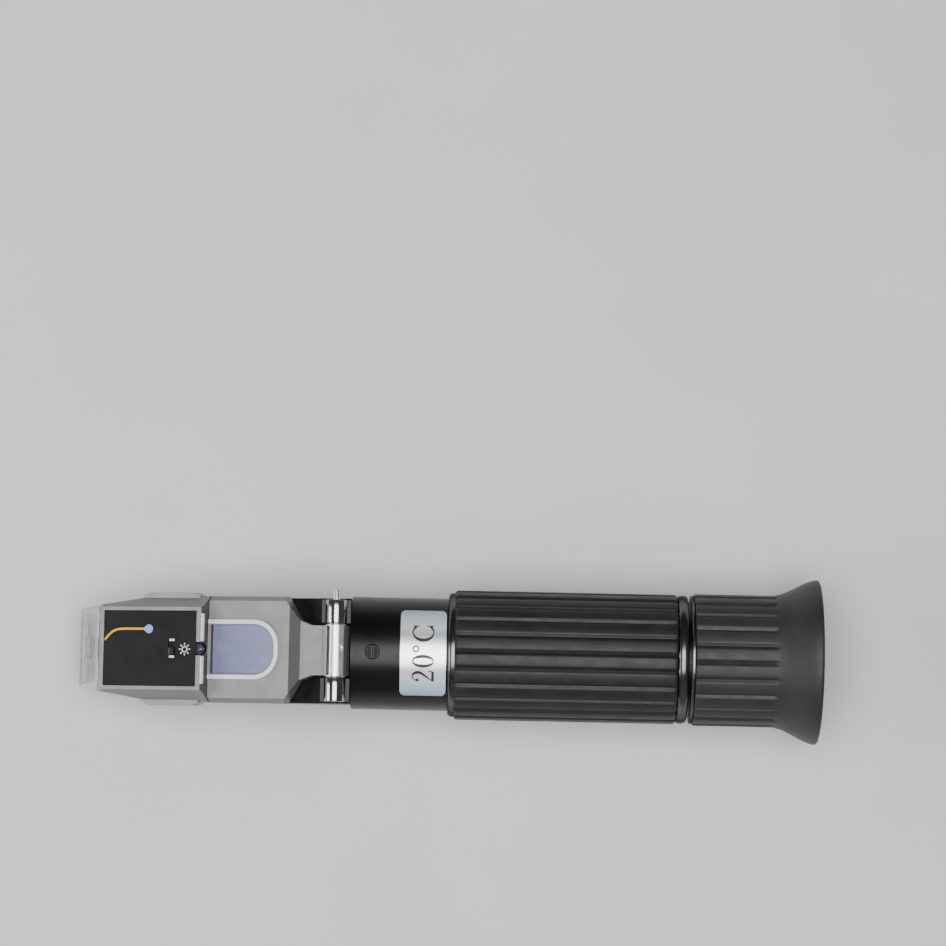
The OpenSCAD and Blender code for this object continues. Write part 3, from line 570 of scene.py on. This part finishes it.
# The eyecup: a ribbed sleeve, a flare with a round lip, and a cone inside that runs to its bore
CUP_X0 = 85.4
CUP_R = 15.9
CUP_BORE = 13.9
CUP_TURN = math.radians(-3.7)
CUP_ROUND = [(0, 0.45), (0.15, 0.15), (0.5, 0)]
RIBS_END = 105.5
FLARE_R = 16.0
LIP_X = 114.82
LIP_AXIS_R = 19.11
LIP_R = 0.68
SOCKET_R = 13.0
SOCKET_X0 = 102.2
SOCKET_X1 = 107


def eyecup():
    profile = [(CUP_X0, CUP_BORE, 0)]
    profile += [(CUP_X0 + dx, CUP_R - dr, 1) for dx, dr in CUP_ROUND]
    profile += [(x, CUP_R, 1) for x in evenly(CUP_X0 + 1.4, RIBS_END - 1.3, 8)]
    # The grooves run out just before the flare
    profile += [(RIBS_END - 0.8, CUP_R, 0.8), (RIBS_END - 0.4, CUP_R + 0.02, 0.25)]
    lip_top = LIP_AXIS_R + LIP_R
    flare = bezier((RIBS_END, FLARE_R), (108.8, 16.67), (112.55, lip_top), (LIP_X, lip_top), 11)
    lip = arc(LIP_X, LIP_AXIS_R, LIP_R, LIP_R, 90, -90, 11)[1:]
    cone = [(112, 16.55), (109.5, 14.8), (107.4, 13.2)]
    socket = [(SOCKET_X1, SOCKET_R), (SOCKET_X0, SOCKET_R), (SOCKET_X0, CUP_BORE)]
    profile += [(x, radius, 0) for x, radius in flare + lip + cone + socket]
    return revolved(profile, STEPS_AROUND, round_axis, ribbed(CUP_R, CUP_TURN))


add_piece("ribbed_eyecup", eyecup(), "eyepiece", "eyecup_rubber", replaces=["eyecup"])

# The hinge's tubes and pin, turned about the pin's axis
TUBE_Y0 = 6.5
TUBE_Y1 = 12
TUBE_R = 2.6
TUBE_BORE = 0.86
TUBE_LIP = 0.18
TUBE_STEPS = 64
PIN_R = 0.775
PIN_Y0 = -11.4
PIN_Y1 = 14.7
PIN_LIP = 0.3
PIN_STEPS = 40
PIN_CORE = 0.001  # the radius at which the pin's two end faces close


def round_pin(y, r, angle):
    return point(HINGE_X + r * math.sin(angle), y, HINGE_Z + r * math.cos(angle))


def rounded_rod(y0, y1, r_in, r_out, lip):
    """A tube's or a rod's loop of points, whose ends are rounded by the lip."""
    bend = lip * (1 - math.cos(math.pi / 4))
    near = [(y0, r_in), (y0, r_out - lip), (y0 + bend, r_out - bend), (y0 + lip, r_out)]
    far = [(y1 - (y - y0), r) for y, r in near[::-1]]
    return [(y, r, 0) for y, r in near + far]


for side, name in ((1, "hinge_tube_far"), (-1, "hinge_tube_near")):
    loop = rounded_rod(TUBE_Y0, TUBE_Y1, TUBE_BORE, TUBE_R, TUBE_LIP)
    tube = revolved([(side * y, r, share) for y, r, share in loop], TUBE_STEPS, round_pin)
    add_piece(name, tube, "root", "hinge_chrome", replaces=["hinge_tubes"])

pin = revolved(rounded_rod(PIN_Y0, PIN_Y1, PIN_CORE, PIN_R, PIN_LIP), PIN_STEPS, round_pin)
add_piece("hinge_rod", pin, "root", "hinge_chrome", FINISHES["knuckle_sleeve"],
          replaces=["hinge_pin"])


# Flat things on a surface: closed strips and plates, given as (u, v) in millimetres
def slab(bm, outline, place, low, high):
    """A closed plate over a convex or fan-shaped outline between two heights."""
    bottom = [bm.verts.new(place(u, v, low)) for u, v in outline]
    top = [bm.verts.new(place(u, v, high)) for u, v in outline]
    bm.faces.new(bottom[::-1])
    bm.faces.new(top)
    for i in range(len(outline)):
        j = (i + 1) % len(outline)
        bm.faces.new((bottom[i], bottom[j], top[j], top[i]))


def stroke(bm, path, place, low, high, closed=False):
    """A closed strip along (u, v, half width) points."""
    count = len(path)
    rows = []
    for i, (u, v, half) in enumerate(path):
        before = path[(i - 1) % count] if closed or i else path[i]
        after = path[(i + 1) % count] if closed or i < count - 1 else path[i]
        du = after[0] - before[0]
        dv = after[1] - before[1]
        side_u = -dv / math.hypot(du, dv) * half
        side_v = du / math.hypot(du, dv) * half
        rows.append([place(u + s * side_u, v + s * side_v, h)
                     for s, h in ((1, low), (-1, low), (-1, high), (1, high))])
    skinned(bm, rows, closed)


def curved(cu, cv, ru, rv, start, end, width, count=24):
    """An elliptic stroke's (u, v, half width) points, whose half width is width(angle)."""
    angles = evenly(math.radians(start), math.radians(end), count)
    return [(u, v, width(a)) for (u, v), a in zip(arc(cu, cv, ru, rv, start, end, count), angles)]


# Lettering on the barrel's label, reading along +Y with its tops towards the prism. Each
# character is drawn in a square of side 1, and widths are shares of that square too
LABEL_MIDDLE = 20.75
LABEL_R = 13.75
LETTER = 5.3
INK_LOW = -0.01
INK_HIGH = 0.03
HAIRLINE = 0.05
TWO_START = -7.3
ZERO_START = -3.7
DEGREE_START = 0.1
C_START = 2.5


def on_label(u, v, height):
    return round_axis(LABEL_MIDDLE - v, LABEL_R + height, u / LABEL_R)


def swelling(thin, thick):
    """A stroke's half width, thick where the stroke is upright."""
    return lambda a: (thin + (thick - thin) * abs(math.cos(a)) ** 1.5) / 2


def straight(start, end, width, count=5):
    return [(u, v, width / 2)
            for u, v in zip(evenly(start[0], end[0], count), evenly(start[1], end[1], count))]


def lettering():
    """The temperature that the readings hold at: 20 degrees C."""
    bm = bmesh.new()

    def letter(start, points, closed=False):
        placed = [(start + u * LETTER, (v - 0.5) * LETTER, half * LETTER)
                  for u, v, half in points]
        stroke(bm, placed, on_label, INK_LOW, INK_HIGH, closed)

    two = curved(0.28, 0.72, 0.2, 0.25, 165, -40,
                 lambda a: (HAIRLINE + 0.09 * max(0, math.cos(a))) / 2)
    letter(TWO_START, two + [(0.33, 0.42, 0.048), (0.2, 0.25, 0.03), (0.1, 0.1, 0.026)])
    letter(TWO_START, straight((0.05, 0.055), (0.52, 0.055), 0.11))
    letter(TWO_START, straight((0.505, 0.06), (0.545, 0.24), HAIRLINE))
    letter(TWO_START, curved(0.11, 0.74, 0.045, 0.045, 0, 345, lambda a: 0.032, 12), True)
    letter(ZERO_START, curved(0.31, 0.5, 0.22, 0.465, 0, 351, swelling(HAIRLINE, 0.15), 40), True)
    letter(DEGREE_START, curved(0.14, 0.82, 0.12, 0.13, 0, 345, lambda a: 0.035), True)
    letter(C_START, curved(0.46, 0.5, 0.37, 0.465, 42, 318, swelling(HAIRLINE, 0.16), 36))
    letter(C_START, straight((0.765, 0.66), (0.765, 0.95), HAIRLINE))
    letter(C_START, straight((0.765, 0.05), (0.765, 0.34), HAIRLINE))
    return bm


ink = moulded("label_ink", (0.02, 0.016, 0.014), (0.03, 0.024, 0.02), (0.4, 0.55), 0.1, 0.002,
              patch_mm=1)
add_piece("label_lettering", lettering(), "root", "label_foil", ink)

# Graphics printed on the flap's black plate: u up its slope from the pin, v across it
PLATE_N = 6.7
PRINT_LOW = PLATE_N - 0.02
PRINT_HIGH = PLATE_N + 0.03
SUN_U = -36.1
SUN_V = -0.2
SUN_R = 0.62
RAYS = 8
RAY_START = 0.95
RAY_END = 1.5
MARK_U = (-40.1, -38.8)
MARK_V = 2.0
BEAM_V = 4.6
LINE_HALF = 0.26  # half the width of the bars and of the beam
DROP_U = -45.55
DROP_R = 1.05
DROP_TIP_U = -47.3


def printed(name, colour, build):
    bm = bmesh.new()
    build(bm)
    tint = tuple(min(1.0, c * 1.08) for c in colour)
    paint = moulded(name + "_ink", colour, tint, (0.4, 0.55), 0.15, 0.002, patch_mm=0.8,
                    Specular_IOR_Level=0.15)
    add_piece(name, bm, "flap", "label_black", paint)


def printed_line(bm, points, closed=False):
    stroke(bm, points, on_flap, PRINT_LOW, PRINT_HIGH, closed)


def white_marks(bm):
    """A sun beside the lamp's switch, and a bar at each end of the switch."""
    ring = curved(SUN_U, SUN_V, SUN_R, SUN_R, 0, 345, lambda a: 0.11)
    printed_line(bm, ring, closed=True)
    for k in range(RAYS):
        c = math.cos(TAU * k / RAYS)
        s = math.sin(TAU * k / RAYS)
        printed_line(bm, [(SUN_U + reach * c, SUN_V + reach * s, half)
                          for reach, half in ((RAY_START, 0.13), (RAY_END, 0.1))])
    for v in (MARK_V, -MARK_V):
        printed_line(bm, [(u, v, LINE_HALF) for u in MARK_U])


def amber_ray(bm):
    """A beam that comes up from the plate's edge and runs along it to the drop."""
    bend = [(-57.1, 1.9), (-56.1, 3.1), (-55.0, 4.0), (-53.8, 4.45)]
    run = [(-52, BEAM_V), (-47.2, BEAM_V)]
    printed_line(bm, [(u, v, LINE_HALF) for u, v in bend + run])


def blue_drop(bm):
    round_end = arc(DROP_U, BEAM_V, DROP_R, DROP_R, -143, 143, 28)
    slab(bm, round_end + [(DROP_TIP_U, BEAM_V)], on_flap, PRINT_LOW + 0.01, PRINT_HIGH + 0.02)


printed("plate_marks", (0.85, 0.85, 0.84), white_marks)
printed("plate_ray", (0.92, 0.44, 0.0), amber_ray)
printed("plate_drop", (0.26, 0.4, 0.85), blue_drop)


# The white rim round the window, and the two white bars along the lamp housing's front edge:
# painted highlights where these edges catch the light
highlight_white = moulded("highlight_white", (0.88, 0.88, 0.87), (0.94, 0.94, 0.93), (0.18, 0.3), 0.3,
                        0.003, patch_mm=3, Subsurface_Weight=0.2, Subsurface_Scale=0.001)

RIM_HALF = 6.575     # from the window's middle to the middle of the rim
RIM_CORNER = 5.675   # radius of the rim's two bends
RIM_END = -13.725
RIM_START = -31.3


def u_rim():
    """A rounded white bead that lies over the ridge round three sides of the window: a painted
    highlight where the ridge catches the light.
    """
    bm = bmesh.new()
    bend = arc(RIM_END - RIM_CORNER, RIM_HALF - RIM_CORNER, RIM_CORNER, RIM_CORNER, 90, 0, 14)
    line = [(u, RIM_HALF) for u in (RIM_START, -27, -23)] + bend
    line += [(u, -v) for u, v in line[::-1]]
    flank = [(0.42, 3.93), (0.6, 3.84), (0.69, 3.6), (0.7, 2.72)]
    section = [(-s, n) for s, n in flank[::-1]] + flank
    rows = []
    for i, (u, v) in enumerate(line):
        before = line[max(0, i - 1)]
        after = line[min(len(line) - 1, i + 1)]
        du = after[0] - before[0]
        dv = after[1] - before[1]
        size = math.hypot(du, dv)
        rows.append([on_flap(u - s * dv / size, v + s * du / size, n) for s, n in section])
    skinned(bm, rows)
    return bm


add_piece("window_rim", u_rim(), "flap", "frosted_plastic", highlight_white)

BAR_MIDDLE = (-31.9, 6.2)  # the point that a bar's two ends narrow towards
BAR_V0 = 1.75
BAR_V1 = 8.4
BAR_END = 0.2
BAR_NARROW = 0.7


def highlight_bars():
    """Two white strips along the front top edge of the lamp housing: a painted highlight where that
    edge catches the light.
    """
    bm = bmesh.new()
    u0, n0 = BAR_MIDDLE
    section = [(-31.7, 5.9), (-31.42, 5.9), (-31.36, 6.1), (-31.4, 6.42), (-31.6, 6.76),
               (-31.86, 6.8), (-31.98, 6.72), (-31.98, 6.4)]
    stations = ((BAR_V0, BAR_NARROW), (BAR_V0 + BAR_END, 1), (BAR_V1 - BAR_END, 1),
                (BAR_V1, BAR_NARROW))
    for side in (1, -1):
        skinned(bm, [[on_flap(u0 + (u - u0) * share, side * v, n0 + (n - n0) * share)
                      for u, n in section] for v, share in stations])
    return bm


add_piece("highlight_bars", highlight_bars(), "flap", "frosted_plastic", highlight_white)

# Stage -------------------------------------------------------------------------------------

centre = (cad_lo + cad_hi) / 2

# A wide floor, just below the object
FLOOR_HALF = 3000
FLOOR_GAP = 0.02

corners = [point(x * FLOOR_HALF, y * FLOOR_HALF, 0)
           for x, y in ((-1, -1), (1, -1), (1, 1), (-1, 1))]
floor_mesh = bpy.data.meshes.new("floor")
floor_mesh.from_pydata(corners, [], [range(4)])
floor = bpy.data.objects.new("floor", floor_mesh)
floor.location.z = cad_lo.z - FLOOR_GAP * MM
bpy.context.scene.collection.objects.link(floor)
floor_paint = moulded("floor_paint", (0.78, 0.78, 0.78), (0.82, 0.82, 0.82), (0.7, 0.85), 1, 0.02,
                      patch_mm=60)
floor_mesh.materials.append(floor_paint.mat)

WORLD_STRENGTH = 0.1

world = bpy.data.worlds.new("studio")
world.use_nodes = True
sky = world.node_tree.nodes["Background"]
sky.inputs["Color"].default_value = (1, 1, 1, 1)
sky.inputs["Strength"].default_value = WORLD_STRENGTH
bpy.context.scene.world = world


def softbox(name, place, size, power):
    """A rectangular light, in metres and watts, that faces the object's middle."""
    data = bpy.data.lights.new(name, "AREA")
    data.shape = "RECTANGLE"
    data.size = size[0]
    data.size_y = size[1]
    data.energy = power
    obj = bpy.data.objects.new(name, data)
    obj.location = place
    obj.rotation_mode = "QUATERNION"
    obj.rotation_quaternion = (centre - Vector(place)).to_track_quat("-Z", "Y")
    bpy.context.scene.collection.objects.link(obj)


softbox("key", (0.0, -0.05, 1.0), (0.7, 0.7), 11)
softbox("side", (-1.0, -0.1, 0.42), (0.6, 0.5), 6)
softbox("fill", (0.1, -1.1, 0.45), (1.6, 0.9), 1)

# The camera looks down on the object from nearly straight above, a little off its middle. Its
# distance is in metres
CAMERA_DISTANCE = 0.9
CAMERA_ELEVATION = math.radians(85.5)
CAMERA_ROLL = math.radians(1.19)
CAMERA_LENS = 141.8
CAMERA_SENSOR = 36
AIM = point(5.2, 44, AXIS_Z)

camera = bpy.data.cameras.new("camera")
camera.lens = CAMERA_LENS
camera.sensor_width = CAMERA_SENSOR
view = bpy.data.objects.new("camera", camera)
back = Vector((0, -math.cos(CAMERA_ELEVATION), math.sin(CAMERA_ELEVATION)))
view.location = AIM + back * CAMERA_DISTANCE
view.rotation_mode = "QUATERNION"
facing = (-back).to_track_quat("-Z", "Y").to_matrix()
view.rotation_quaternion = (facing @ Matrix.Rotation(CAMERA_ROLL, 3, "Z")).to_quaternion()
camera.clip_start = 0.01
camera.clip_end = 10
bpy.context.scene.collection.objects.link(view)
bpy.context.scene.camera = view

bpy.context.view_layer.update()
